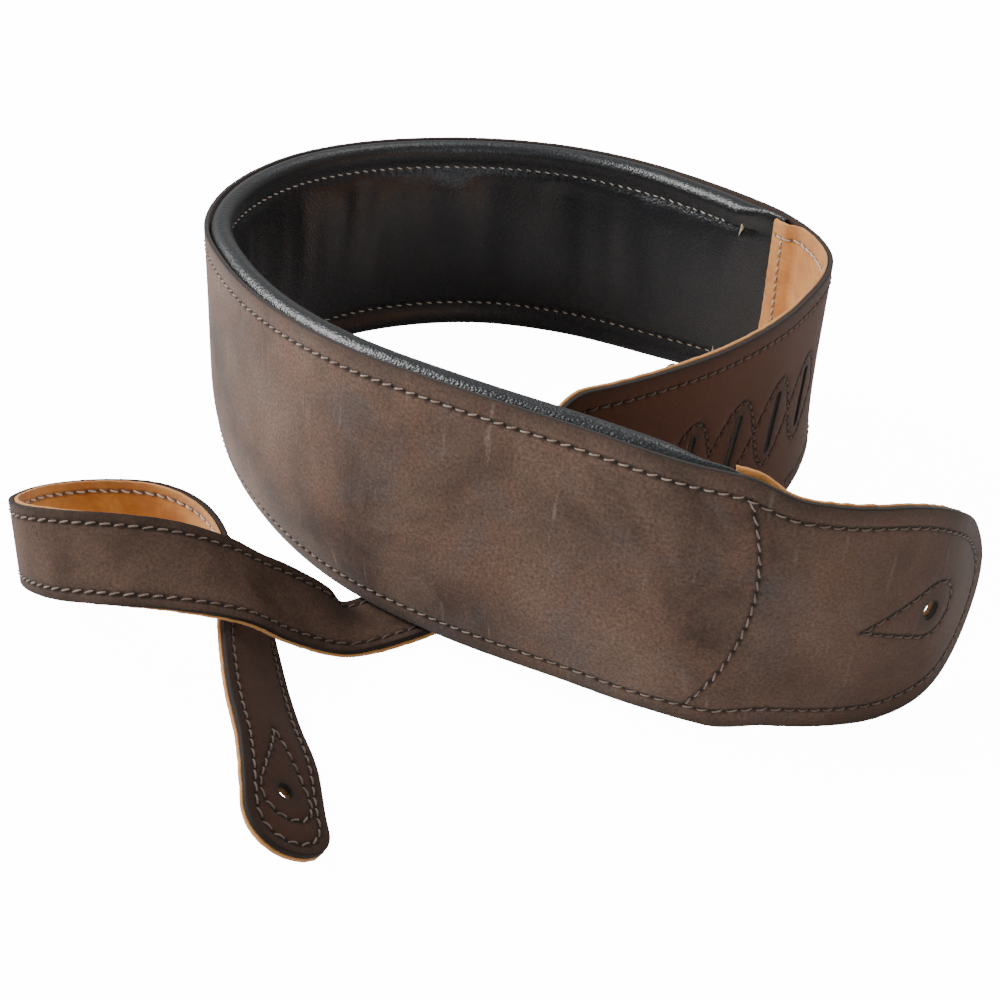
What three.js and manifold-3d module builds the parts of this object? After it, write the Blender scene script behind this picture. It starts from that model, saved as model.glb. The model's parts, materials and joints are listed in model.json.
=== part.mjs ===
// Padded leather guitar strap, lying as it is put down. The wide band stands on its lower edge in an open
// loop, and the narrow tail passes flat under it, winds once to the side and comes back in front.
// Millimetres, +Z up. The origin is the middle of the strap's footprint, on the surface that it stands on.
import * as THREE from 'three';
import Module from 'manifold-3d';
import { mergeVertices } from 'three/addons/utils/BufferGeometryUtils.js';

const wasm = await Module();
wasm.setup();

// Driving dimensions
const outerThickness = 2;          // brown leather
const liningThickness = 1.4;       // tan lining leather
const gap = 0.3;                   // clearance between pieces that touch
const bandWidth = 100;
const bandStart = 5;               // tip of the button end, along the band's own length
const bandEnd = 1032;              // end of the slotted end
const tipLength = 71;              // length over which the button end's round tip widens
const tabHalf = 45;                // half the width of the button end
const slotCorner = 14;             // corner radius of the slotted end
const buttonSplit = 104;           // where the unpadded button end flexes
const padStart = 118;
const padEnd = 790;
const padDepth = 9.5;              // pad, from the leather's back to the cover's crown
const padEndDepth = 3.2;           // pad where the cross seams press it flat
const padTaper = 26;               // length over which the pad thins towards its ends
const rollRadius = 4.5;            // rolled edge of the cover
const valleyAt = 38.5;             // stitched valley beside each roll, from the band's middle
const coverThickness = 1;
const foamStart = 156;
const foamEnd = 760;
const frontOverlap = 23;           // lining over the pad's front end
const rearOverlap = 12;            // lining over the pad's rear end
const curl = 8;                    // how far the padded front's lower edge turns under
const edgeInset = 7.5;             // stitch line from the band's edge
const slotFirst = 881;
const slotPitch = 27.3;
const slotCount = 6;
const slotLength = 28;
const slotWidth = 3.6;
const openSlotWidth = 9;           // the two slots that the tongue spreads
const chainHalf = 20;              // stitched chain round the slots
const buttonHoleRadius = 3.6;
const buttonHoleAt = 50;
const frontSeam = { at: 120.7, slope: -0.13, bulge: 0.0065 };
const rearSeam = { at: 793, slope: 0.3, bulge: 0 };
const tailWidth = 31.5;
const tongueWidth = 17;
const tailEnd = 476;
const tailSplit = 386;             // where the free end of the tail flexes
const tailLiningStart = -6;        // the tongue beyond it is a single layer
const tailHoleAt = 450;
const tailHoleRadius = 3;
const tailInset = 4;
const tailStitchStart = 48;        // the seams show from here, past the crossing under the band
const splitGap = 1.4;
const threadWidth = 0.9;
const threadHeight = 0.5;
const grooveDepth = 0.6;           // groove that each teardrop seam lies in
const buttonPatch = [35, 83];      // stretches that lie flat, round the two button holes
const tailPatch = [412, 465];

// Routes: distance along the piece, the middle of its brown face (x, y, z), and how far the top leans out
const bandRoute = [
  [5, 173, -64, 53, -4], [47, 151, -99, 51, 2], [94, 110, -121, 51, 3], [142, 63, -119, 52.5, -2.5],
  [189, 19, -100, 55, -5], [237, -23, -78, 56.4, -6], [284, -61, -50, 56.2, -4.6],
  [332, -91, -13, 54.2, -2.5], [379, -113, 29, 53, -1], [426, -126, 74, 52, 0],
  [474, -124, 122, 51.5, -3], [521, -104, 164, 51.5, -6.5], [569, -68, 194, 51.2, -9.5],
  [616, -22, 207, 51.2, -11], [664, 24, 201, 51.2, -10.5], [711, 67, 181, 51.2, -10.5],
  [758, 104, 151, 52.5, -14], [806, 127, 111, 53.5, -11], [853, 129, 64, 53, 1], [901, 110, 21, 52, 5],
  [948, 79, -15, 52, 10], [996, 44, -47, 52, 9], [1043, 7, -77, 52, 2],
];
const tailRoute = [
  [-149, 65.5, -26.5, 92.5, 9], [-145, 63.3, -26.9, 89, 9], [-129, 56.3, -28, 75, 9],
  [-114, 49.9, -31.2, 61.5, 7], [-101, 48.7, -40.9, 53, 6], [-84, 42.5, -57.1, 52, 5],
  [-66, 24.6, -60.4, 50.5, 4], [-55, 17.5, -53.5, 47, -3], [-39, 7, -48.5, 36, -22],
  [-19.5, -6, -46, 21, -52], [-2, -20, -49, 8.5, -78], [11, -31, -56, 4.2, -89],
  [22, -40.5, -63, 4.1, -89.5], [33, -50, -69.5, 4.9, -88], [45, -59.5, -74.5, 10.5, -68],
  [67, -75, -83, 23, -58], [90, -90, -92, 36.5, -59], [113, -109.5, -98.5, 45, -50],
  [136, -132, -99, 46.5, -37], [158, -153, -92, 42.5, -20], [181, -169, -78, 36, -3],
  [204, -176, -58, 28, 5], [226, -170, -38, 21.3, 12], [249, -153, -24, 16.8, 14],
  [272, -131, -22, 16.2, 7], [294, -111, -31, 16.5, -6], [317, -97, -49, 16.5, -15],
  [340, -89, -70, 16.3, -26], [362, -85, -92, 15.2, -37], [385, -80, -114, 14.8, -42],
  [408, -74, -136, 14.2, -47], [430, -67, -157, 14, -51], [453, -62, -180, 13.2, -53],
  [476, -57, -203, 11.3, -60],
];

// A ribbon gives the frame of its brown face at any distance: middle, length, width and outward directions.
function makeRibbon(route) {
  const curve = (points) => new THREE.CatmullRomCurve3(points, false, 'catmullrom');
  const middle = curve(route.map((r) => new THREE.Vector3(r[1], r[2], r[3])));
  const leans = curve(route.map((r) => new THREE.Vector3(r[4], 0, 0)));
  const frames = new Map();
  return (s) => {
    if (!frames.has(s)) {
      let i = route.findIndex((r) => r[0] > s) - 1;
      if (i < 0) i = s < route[0][0] ? 0 : route.length - 2;
      const t = (i + (s - route[i][0]) / (route[i + 1][0] - route[i][0])) / (route.length - 1);
      const along = middle.getTangent(Math.min(Math.max(t, 0), 1));
      const upright = new THREE.Vector3(0, 0, 1).addScaledVector(along, -along.z).normalize();
      const lean = THREE.MathUtils.degToRad(leans.getPoint(t).x);
      const side = new THREE.Vector3().crossVectors(upright, along);
      const width = upright.multiplyScalar(Math.cos(lean)).addScaledVector(side, Math.sin(lean));
      const out = new THREE.Vector3().crossVectors(width, along);
      frames.set(s, { point: middle.getPoint(t), along, width, out });
    }
    return frames.get(s);
  };
}

function range(from, to, step) {
  const count = Math.max(1, Math.round((to - from) / step));
  return Array.from({ length: count + 1 }, (_, i) => from + ((to - from) * i) / count);
}

const smooth = (a, b, x) => THREE.MathUtils.smoothstep(x, a, b);
const superRound = (x, power) => (1 - Math.min(Math.max(x, 0), 1) ** power) ** (1 / power);

// The band's outline: a rounded button end that dips a little, straight sides and rounded slotted corners
const bandHalf = (s, inset = 0) => {
  const tip = (tabHalf - inset) * superRound((bandStart + tipLength - s) / (tipLength - inset), 1.8);
  const sides = tip + (bandWidth / 2 - tabHalf) * smooth(108, 130, s);
  const corner = slotCorner * (1 - superRound((s - bandEnd + slotCorner) / slotCorner, 2));
  return sides - Math.max(corner, 0);
};
const bandDip = (s) => -13 * (1 - smooth(0, 1, (s - bandStart) / 130)) ** 1.2;
// The lower edge of the padded front turns under.
const bandCurl = (s, w) => {
  const share = smooth(104, 154, s) * (1 - smooth(340, 500, s));
  return -curl * share * Math.min(Math.max((-w - 14) / 36, 0), 1.1) ** 2;
};

// The tail's outline: a round end and a narrower tongue.
const tailHalf = (s) => {
  const round = (tailWidth / 2) * superRound((s - tailEnd) / (tailWidth / 2) + 1, 2);
  const tongue = ((tailWidth - tongueWidth) / 2) * (1 - smooth(-46, -12, s));
  return round - tongue - 3 * (1 - smooth(-149, -144, s));
};

const rows = [-1, -0.85, -0.425, 0, 0.85, 1];
const tailRows = [-1, tailInset * 2 / tailWidth - 1, 0, 1 - tailInset * 2 / tailWidth, 1];
const band = {
  frame: makeRibbon(bandRoute), half: bandHalf, dip: bandDip, curl: bandCurl, rows,
  stations: [bandStart + 0.4, 7, 10, 15, 22, 28, 35, 48, 62, 72, 83, 93, 103.3, 104.7, 118,
    130, 141, ...range(156, 778, 22), ...range(790, 1016, 17.4), 1023, 1028, 1031, bandEnd - 0.3],
};
const tail = {
  frame: makeRibbon(tailRoute), half: tailHalf, dip: () => 0, curl: () => 0, rows: tailRows,
  stations: [-148.5, -147, ...range(-144, -6, 7), ...range(-6, 385.3, 13), 386.7, 400, 412, 435, 450,
    465, 469, 472.5, 474.7, 475.7],
};
// A flat patch round each button hole, as long as its teardrop seam
for (const [sheet, [from, to]] of [[band, buttonPatch], [tail, tailPatch]]) {
  const first = sheet.frame(from);
  const last = sheet.frame(to);
  const along = last.point.clone().sub(first.point).normalize();
  const width = first.width.clone().add(last.width);
  width.addScaledVector(along, -width.dot(along)).normalize();
  for (const s of sheet.stations.filter((station) => station >= from && station <= to)) {
    const frame = sheet.frame(s);
    frame.point.lerpVectors(first.point, last.point, (s - from) / (to - from));
    frame.width.copy(width);
    frame.along.copy(along);
    frame.out.crossVectors(width, along);
  }
}

function corner(sheet, s, w, n) {
  const f = sheet.frame(s);
  return f.point.clone().addScaledVector(f.width, w).addScaledVector(f.out, n + sheet.curl(s, w));
}

// A point over one of the sheet's faceted faces: height gives the face, and over the distance above it
function place(sheet, s, w, height, over) {
  const { stations, half, dip } = sheet;
  let i = stations.findIndex((v) => v > s) - 1;
  if (i < 0) i = s < stations[0] ? 0 : stations.length - 2;
  const u = (s - stations[i]) / (stations[i + 1] - stations[i]);
  const [a, b] = [stations[i], stations[i + 1]];
  const f = (w - THREE.MathUtils.lerp(dip(a), dip(b), u)) / THREE.MathUtils.lerp(half(a), half(b), u);
  let j = sheet.rows.findIndex((v) => v > f) - 1;
  if (j < 0) j = f < sheet.rows[0] ? 0 : sheet.rows.length - 2;
  const v = (f - sheet.rows[j]) / (sheet.rows[j + 1] - sheet.rows[j]);
  const at = (x, k) => corner(sheet, x, dip(x) + sheet.rows[k] * half(x), height(x) + over);
  const [near, far] = [at(a, j), at(b, j + 1)];
  const third = u >= v ? at(b, j) : at(a, j + 1);
  const [p, q] = u >= v ? [1 - u, u - v] : [1 - v, v - u];
  return near.multiplyScalar(p).addScaledVector(third, q).addScaledVector(far, 1 - p - q);
}

// A closed body from rings of points: the rings are joined and the ends are capped.
function skinRings(rings, flat, closed = false, flatEnd = flat) {
  const count = rings[0].length;
  const positions = rings.flat().flatMap((p) => [p.x, p.y, p.z]);
  const index = [];
  const turns = closed ? rings.length : rings.length - 1;
  for (let i = 0; i < turns; i++) {
    for (let k = 0; k < count; k++) {
      const m = (k + 1) % count;
      const next = ((i + 1) % rings.length) * count;
      const [a, b, c, d] = [i * count + k, i * count + m, next + k, next + m];
      if (flat[m].x >= flat[k].x) index.push(a, b, d, a, d, c);
      else index.push(a, b, c, b, d, c);
    }
  }
  if (!closed) {
    const last = (rings.length - 1) * count;
    for (const [a, b, c] of capFaces(flat)) index.push(a, c, b);
    for (const [a, b, c] of capFaces(flatEnd)) index.push(last + a, last + b, last + c);
  }
  return facingOut(positions, index);
}

// Triangles of an end, wound the same way round as its outline
function capFaces(flat) {
  const clockwise = THREE.ShapeUtils.isClockWise(flat);
  return THREE.ShapeUtils.triangulateShape(flat, []).map(([a, b, c]) => (
    THREE.ShapeUtils.isClockWise([flat[a], flat[b], flat[c]]) === clockwise ? [a, b, c] : [a, c, b]));
}

function facingOut(positions, index) {
  const geometry = new THREE.BufferGeometry();
  geometry.setAttribute('position', new THREE.Float32BufferAttribute(positions, 3));
  let volume = 0;
  const [a, b, c] = [new THREE.Vector3(), new THREE.Vector3(), new THREE.Vector3()];
  const point = (v, i) => v.fromArray(positions, i * 3);
  for (let i = 0; i < index.length; i += 3) {
    volume += point(a, index[i]).dot(point(b, index[i + 1]).cross(point(c, index[i + 2])));
  }
  geometry.setIndex(volume > 0 ? index : index.map((_, i) => index[i - (i % 3) + 2 - (i % 3)]));
  return geometry;
}

function within(sheet, from, to) {
  const inner = sheet.stations.filter((s) => s > from + 0.2 && s < to - 0.2);
  return [from, ...inner, to];
}

// A layer of leather: its two faces follow the sheet's rows, at heights that may change along the length.
function layer(sheet, from, to, high, low) {
  const flat = [...sheet.rows.map((f) => new THREE.Vector2(f, 1)),
    ...sheet.rows.map((f) => new THREE.Vector2(f, 0)).reverse()];
  const rings = within(sheet, from, to).map((s) => flat.map((p) => (
    corner(sheet, s, sheet.dip(s) + p.x * sheet.half(s), p.y ? high(s) : low(s)))));
  return skinRings(rings, flat);
}

// A body with one cross section that is worked out at each station
function swept(sheet, from, to, section) {
  const stations = within(sheet, from, to);
  const rings = stations.map((s) => section(s).map(([w, n]) => corner(sheet, s, w, n)));
  const [first, last] = [from, to].map((s) => section(s).map(([w, n]) => new THREE.Vector2(w, n)));
  return skinRings(rings, first, false, last);
}

// A path with a point added at each station that it crosses
function folded(sheet, path, closed) {
  const ends = closed ? [...path, path[0]] : path;
  const points = ends.slice(1).flatMap(([s, w], i) => {
    const [from, at] = ends[i];
    const crossed = sheet.stations.filter((x) => (x - from) * (x - s) < -0.5).map((x) => (
      [x, at + ((w - at) * (x - from)) / (s - from)]));
    return [...(s > from ? crossed : crossed.reverse()), [s, w]];
  });
  return closed ? points : [path[0], ...points];
}

// A flat strip along a path of (s, w) points, between two distances off a face
function stripAlong(sheet, path, height, away, closed, stripWidth, near, far) {
  const sides = [[-0.5, 0], [0.5, 0], [0.5, 1], [-0.5, 1]];
  const points = folded(sheet, path, closed);
  const rings = points.map(([s, w], i) => {
    const before = points[i > 0 ? i - 1 : (closed ? points.length - 1 : 0)];
    const after = points[i < points.length - 1 ? i + 1 : (closed ? 0 : i)];
    const step = new THREE.Vector2(after[0] - before[0], after[1] - before[1]).normalize();
    return sides.map(([x, y]) => place(sheet, s - step.y * x * stripWidth, w + step.x * x * stripWidth,
      height, away * (y ? far : near)));
  });
  return skinRings(rings, sides.map(([x, y]) => new THREE.Vector2(x, y)), closed);
}

// A thread lies just off a face. A teardrop's thread on the brown side lies in a groove.
function thread(sheet, path, height, away, closed = false) {
  return stripAlong(sheet, path, height, away, closed, threadWidth, gap, gap + threadHeight);
}
function sunkThread(sheet, path) {
  const bottom = gap - grooveDepth;
  return stripAlong(sheet, path, () => 0, 1, true, threadWidth, bottom, bottom + threadHeight);
}
function groove(sheet, path) {
  return stripAlong(sheet, path, () => 0, 1, true, threadWidth + 2 * gap, -grooveDepth, 1);
}

function asSolid(geometry) {
  const merged = mergeVertices(geometry, 1e-5);
  return new wasm.Manifold(new wasm.Mesh({
    numProp: 3,
    vertProperties: merged.attributes.position.array,
    triVerts: Uint32Array.from(merged.index.array),
  }));
}

function asGeometry(solid) {
  const mesh = solid.getMesh();
  const geometry = new THREE.BufferGeometry();
  geometry.setAttribute('position', new THREE.BufferAttribute(Float32Array.from(mesh.vertProperties), 3));
  geometry.setIndex(new THREE.BufferAttribute(Uint32Array.from(mesh.triVerts), 1));
  return geometry;
}

// A cutter of the given outline, standing square through the sheet at (s, w)
function cutter(sheet, outline, s, w) {
  const geometry = new THREE.ExtrudeGeometry(outline, { depth: 24, bevelEnabled: false, curveSegments: 4 });
  geometry.translate(0, 0, -16);
  geometry.deleteAttribute('normal');
  geometry.deleteAttribute('uv');
  const f = sheet.frame(s);
  const origin = corner(sheet, s, w, 0);
  geometry.applyMatrix4(new THREE.Matrix4().makeBasis(f.along, f.width, f.out).setPosition(origin));
  return facingOutOf(mergeVertices(geometry, 1e-4));
}

function facingOutOf(geometry) {
  return facingOut(Array.from(geometry.attributes.position.array), Array.from(geometry.index.array));
}

function slotOutline(width) {
  const outline = new THREE.Shape();
  const [r, h] = [width / 2, slotLength / 2];
  outline.moveTo(r, r - h);
  outline.lineTo(r, h - r);
  outline.absarc(0, h - r, r, 0, Math.PI, false);
  outline.lineTo(-r, r - h);
  outline.absarc(0, r - h, r, Math.PI, 2 * Math.PI, false);
  return outline;
}

function holeOutline(radius) {
  const outline = new THREE.Shape();
  outline.absarc(0, 0, radius, 0, 2 * Math.PI, false);
  return outline;
}

function cut(geometry, cutters) {
  return asGeometry(cutters.reduce((solid, c) => solid.subtract(asSolid(c)), asSolid(geometry)));
}

const slotAt = (i) => slotFirst + i * slotPitch;
const slotCutters = Array.from({ length: slotCount }, (_, i) => (
  cutter(band, slotOutline(i < slotCount - 2 ? slotWidth : openSlotWidth), slotAt(i), 0)));
const buttonCutter = cutter(band, holeOutline(buttonHoleRadius), buttonHoleAt, bandDip(buttonHoleAt));
const tailCutter = cutter(tail, holeOutline(tailHoleRadius), tailHoleAt, 0);

// Heights of the layers' faces
const face = () => 0;
const back = () => -outerThickness;
const liningFace = (s) => {
  const overPad = (smooth(padStart - 12, padStart - 4, s) - smooth(padEnd + 4, padEnd + 12, s));
  return -outerThickness - gap - (padEndDepth + 2 * gap) * overPad;
};
const liningBack = (s) => liningFace(s) - liningThickness;
const tailLiningFace = () => -outerThickness - gap;
const tailLiningBack = () => -outerThickness - gap - liningThickness;

// The pad cover: a C section, open towards the leather, with rolled edges and a valley beside each roll
const padDepthAt = (s) => {
  const full = smooth(padStart + frontOverlap, padStart + frontOverlap + padTaper, s)
    * (1 - smooth(padEnd - rearOverlap - padTaper, padEnd - rearOverlap, s));
  return THREE.MathUtils.lerp(padEndDepth, padDepth, full);
};
function coverLine(s, inset) {
  const base = -outerThickness - 2 * gap;
  const depth = padDepthAt(s);
  const radius = Math.min(rollRadius, depth / 2);
  const centre = bandHalf(s) + 0.5 - rollRadius;
  const line = [[centre - 5, base - inset]];
  for (let k = 0; k <= 4; k++) {
    const angle = (Math.PI / 4) * k;
    const across = centre + (rollRadius - inset) * Math.sin(angle);
    line.push([across, base - radius + (radius - inset) * Math.cos(angle)]);
  }
  line.push([valleyAt, base - 0.62 * depth + inset]);
  line.push([26, base - 0.92 * depth + inset]);
  line.push([0, base - depth + inset]);
  return [...line, ...line.slice(0, -1).reverse().map(([w, n]) => [-w, n])];
}
const coverSection = (s) => [...coverLine(s, 0), ...coverLine(s, coverThickness).reverse()];
const foamSection = (s) => coverLine(s, coverThickness + 2 * gap);
const valleyFace = (s) => -outerThickness - 3 * gap - 0.62 * padDepthAt(s);

// Paths of the seams, as (s, w) points
const insetHalf = (s, inset) => (s < bandStart + tipLength ? bandHalf(s, inset) : bandHalf(s) - inset);
const tipAngles = range(0, Math.PI, Math.PI / 14);
const buttonEdge = [
  ...range(buttonSplit - 2, 78, 9).map((s) => [s, bandDip(s) + tabHalf - edgeInset]),
  ...tipAngles.map((a) => {
    const [c, d] = [Math.sin(a) ** (2 / 1.8), Math.sign(Math.cos(a)) * Math.abs(Math.cos(a)) ** (2 / 1.8)];
    const s = bandStart + tipLength - (tipLength - edgeInset) * c;
    return [s, bandDip(s) + (tabHalf - edgeInset) * d];
  }),
  ...range(78, buttonSplit - 2, 9).map((s) => [s, bandDip(s) - tabHalf + edgeInset]),
];
const bandEdge = (from) => {
  const last = bandEnd - edgeInset;
  const upper = [...band.stations.filter((s) => s > from && s < last - 6), last - 5];
  const points = [from, ...upper].map((s) => [s, bandDip(s) + insetHalf(s, edgeInset)]);
  const end = range(-30, 30, 12).map((w) => [last, w]).reverse();
  const mirrored = points.map(([s, w]) => [s, 2 * bandDip(s) - w]).reverse();
  return [...points, [last - 1, 38], ...end, [last - 1, -38], ...mirrored];
};
const crossSeam = ({ at, slope, bulge }, half) => (
  range(-half, half, 8).map((w) => [at + slope * w + bulge * w * w, w]));
const chainWave = (sign) => range(slotFirst - slotPitch / 2, bandEnd - edgeInset - 2, slotPitch / 4)
  .map((s) => [s, sign * chainHalf * Math.cos((Math.PI * (s - slotFirst)) / slotPitch)]);
// A teardrop: a round end past the hole and straight sides that meet in a point
const teardrop = (at, towards, centre, radius, pointLength) => {
  const open = Math.acos(radius / pointLength);
  const angles = range(open, 2 * Math.PI - open, 0.42);
  const arc = angles.map((a) => [at + towards * radius * Math.cos(a), radius * Math.sin(a)]);
  const tip = [at + towards * pointLength, 0];
  const mid = (p) => [(p[0] + tip[0]) / 2, (p[1] + tip[1]) / 2];
  return [tip, mid(arc[0]), ...arc, mid(arc.at(-1))].map(([s, w]) => [s, w + centre(s)]);
};
const buttonDrop = teardrop(buttonHoleAt - 1, 1, bandDip, 11, 31);
const tailDrop = teardrop(tailHoleAt + 2, -1, () => 0, 10, 33);
const tailStitchHalf = tailWidth / 2 - tailInset;
const tailSide = (from, to, side) => {
  const stations = within(tail, Math.min(from, to), Math.max(from, to));
  const points = stations.map((s) => [s, side * tailStitchHalf]);
  return from < to ? points : points.reverse();
};
const tailTurn = tailEnd - tailWidth / 2;
const tailTipPath = [...tailSide(tailSplit + 2, tailTurn, 1),
  ...range(0.25, Math.PI - 0.25, 0.3).map((a) => (
    [tailTurn + tailStitchHalf * Math.sin(a), tailStitchHalf * Math.cos(a)])),
  ...tailSide(tailTurn, tailSplit + 2, -1)];

// Materials
const finish = (color, roughness) => new THREE.MeshStandardMaterial({ color, roughness, metalness: 0 });
const brown = finish(0x6b5146, 0.8);
const tan = finish(0xb5763d, 0.85);
const black = finish(0x17181a, 0.45);
const foam = finish(0xc9c2a8, 0.95);
const brownThread = finish(0x9a8070, 0.75);
const whiteThread = finish(0xd9d2c4, 0.75);

const footprintCentre = [-1.9, 6.6];   // of the strap as routed above
const lift = -0.1;
const strap = new THREE.Group();
strap.position.set(-footprintCentre[0], -footprintCentre[1], lift);
function add(name, geometry, material) {
  const mesh = new THREE.Mesh(geometry, material);
  mesh.name = name;
  strap.add(mesh);
}

const [splitLow, splitHigh] = [buttonSplit - splitGap / 2, buttonSplit + splitGap / 2];
const [tailLow, tailHigh] = [tailSplit - splitGap / 2, tailSplit + splitGap / 2];
const [bandFirst, bandLast] = [band.stations[0], band.stations.at(-1)];
const [tailFirst, tailLast] = [tail.stations[0], tail.stations.at(-1)];

// Band: leather, linings and pad
add('band_outer_leather', cut(layer(band, splitHigh, bandLast, face, back), slotCutters), brown);
const slottedLining = layer(band, padEnd - rearOverlap, bandLast, liningFace, liningBack);
add('slotted_end_lining', cut(slottedLining, slotCutters), tan);
add('pad_front_lining', layer(band, splitHigh, padStart + frontOverlap, liningFace, liningBack), tan);
add('pad_cover', swept(band, padStart, padEnd, coverSection), black);
add('pad_foam', swept(band, foamStart, foamEnd, foamSection), foam);

// Button end
const buttonLeather = layer(band, bandFirst, splitLow, face, back);
add('button_end_leather', cut(buttonLeather, [buttonCutter, groove(band, buttonDrop)]), brown);
const buttonLining = layer(band, bandFirst, splitLow, liningFace, liningBack);
add('button_end_lining', cut(buttonLining, [buttonCutter]), tan);

// Tail, with its tongue, and the tail's free end
add('tail_outer_leather', layer(tail, tailFirst, tailLow, face, back), brown);
add('tail_lining', layer(tail, tailLiningStart, tailLow, tailLiningFace, tailLiningBack), tan);
const tailEndLeather = layer(tail, tailHigh, tailLast, face, back);
add('tail_end_leather', cut(tailEndLeather, [tailCutter, groove(tail, tailDrop)]), brown);
const tailEndLining = layer(tail, tailHigh, tailLast, tailLiningFace, tailLiningBack);
add('tail_end_lining', cut(tailEndLining, [tailCutter]), tan);

// Threads: the brown side shows the needle thread, and the other side the white bobbin thread
add('band_edge_thread_outer', thread(band, bandEdge(splitHigh + 1), face, 1), brownThread);
add('front_seam_thread_outer', thread(band, crossSeam(frontSeam, 36), face, 1), brownThread);
add('rear_seam_thread_outer', thread(band, crossSeam(rearSeam, 36), face, 1), brownThread);
add('front_seam_thread_inner', thread(band, crossSeam(frontSeam, 32), liningBack, -1), whiteThread);
add('rear_seam_thread_inner', thread(band, crossSeam(rearSeam, 36), liningBack, -1), whiteThread);
for (const [name, side] of [['pad_seam_thread_top', 1], ['pad_seam_thread_bottom', -1]]) {
  const path = within(band, foamStart, foamEnd).map((s) => [s, side * valleyAt]);
  add(name, thread(band, path, valleyFace, -1), whiteThread);
}
const slottedEdge = bandEdge(splitHigh + 1).filter(([s]) => s > padEnd + 18);
add('slotted_lining_thread', thread(band, slottedEdge, liningBack, -1), whiteThread);
for (const [name, height, away, material] of [
  ['slot_chain_thread_outer', face, 1, brownThread],
  ['slot_chain_thread_inner', liningBack, -1, whiteThread],
]) {
  const [up, down] = [1, -1].map((sign) => asSolid(thread(band, chainWave(sign), height, away)));
  add(name, asGeometry(up.add(down)), material);
}
add('button_edge_thread_outer', thread(band, buttonEdge, face, 1), brownThread);
add('button_edge_thread_inner', thread(band, buttonEdge, liningBack, -1), whiteThread);
add('button_teardrop_thread_outer', sunkThread(band, buttonDrop), brownThread);
add('button_teardrop_thread_inner', thread(band, buttonDrop, liningBack, -1, true), whiteThread);
for (const [name, side] of [['upper', 1], ['lower', -1]]) {
  const path = tailSide(tailStitchStart, tailSplit - 2, side);
  add(`tail_${name}_thread_outer`, thread(tail, path, face, 1), brownThread);
  add(`tail_${name}_thread_inner`, thread(tail, path, tailLiningBack, -1), whiteThread);
}
add('tail_end_thread_outer', thread(tail, tailTipPath, face, 1), brownThread);
add('tail_end_thread_inner', thread(tail, tailTipPath, tailLiningBack, -1), whiteThread);
add('tail_teardrop_thread_outer', sunkThread(tail, tailDrop), brownThread);
add('tail_teardrop_thread_inner', thread(tail, tailDrop, tailLiningBack, -1, true), whiteThread);

export default strap;
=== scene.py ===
"""Looks of a padded leather guitar strap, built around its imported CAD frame. Metres, +Z up.

The band and the tail are strips of leather. Each piece is cut in its flat pattern, (s, w) with s along the
strip and w across it, and is then laid on the strip's route at a height n from the brown face."""
import json
import math
import random

import bpy
import numpy as np
from mathutils import Matrix, Vector, noise
from mathutils.geometry import delaunay_2d_cdt
from mathutils.kdtree import KDTree


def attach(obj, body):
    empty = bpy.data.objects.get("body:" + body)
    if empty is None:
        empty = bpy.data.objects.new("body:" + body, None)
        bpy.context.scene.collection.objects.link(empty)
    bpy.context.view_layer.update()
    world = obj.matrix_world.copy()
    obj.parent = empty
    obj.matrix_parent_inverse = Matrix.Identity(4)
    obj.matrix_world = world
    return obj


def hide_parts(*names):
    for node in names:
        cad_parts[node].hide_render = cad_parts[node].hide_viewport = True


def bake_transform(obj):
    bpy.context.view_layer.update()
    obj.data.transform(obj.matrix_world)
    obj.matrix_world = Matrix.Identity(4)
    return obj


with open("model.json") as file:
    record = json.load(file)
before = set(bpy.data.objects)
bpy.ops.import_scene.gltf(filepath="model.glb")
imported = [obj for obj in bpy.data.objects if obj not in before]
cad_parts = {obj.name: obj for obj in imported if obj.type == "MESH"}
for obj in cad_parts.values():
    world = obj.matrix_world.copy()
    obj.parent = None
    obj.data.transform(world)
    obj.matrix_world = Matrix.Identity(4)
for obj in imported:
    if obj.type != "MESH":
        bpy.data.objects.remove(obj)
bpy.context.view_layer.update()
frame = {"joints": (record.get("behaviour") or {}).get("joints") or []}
MM = 0.001

# ---- Dimensions, as in the CAD part ----
OUTER, LINING, GAP = 2 * MM, 1.4 * MM, 0.3 * MM
BAND_HALF, TAB_HALF, TAIL_HALF = 50 * MM, 45 * MM, 15.75 * MM
BAND_START, BAND_END, TIP_LENGTH, SLOT_CORNER = 5 * MM, 1032 * MM, 71 * MM, 14 * MM
PAD_START, PAD_END, PAD_DEPTH, PAD_END_DEPTH = 118 * MM, 790 * MM, 9.5 * MM, 3.2 * MM
FRONT_OVERLAP, REAR_OVERLAP, PAD_TAPER = 23 * MM, 12 * MM, 26 * MM
ROLL_RADIUS, VALLEY_AT, COVER = 4.5 * MM, 38.5 * MM, 1 * MM
EDGE_INSET, TAIL_INSET = 7.5 * MM, 4 * MM
SLOT_FIRST, SLOT_PITCH, SLOT_COUNT = 881 * MM, 27.3 * MM, 6
SLOT_LENGTH, SLOT_WIDTH, OPEN_SLOT_WIDTH = 28 * MM, 3.6 * MM, 9 * MM
CHAIN_HALF = 20 * MM
BUTTON_HOLE_AT, BUTTON_HOLE = 50 * MM, 3.6 * MM
TAIL_HOLE_AT, TAIL_HOLE = 450 * MM, 3 * MM
TAIL_START, TAIL_END, TAIL_LINING_START = -148.5 * MM, 475.7 * MM, -6 * MM
TONGUE_CUT = 7.25 * MM
STITCH, THREAD = 5 * MM, 0.36 * MM
ORIGIN = np.array([0.0019, -0.0066, -0.0001])   # from the routes' zero to the part's origin

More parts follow.
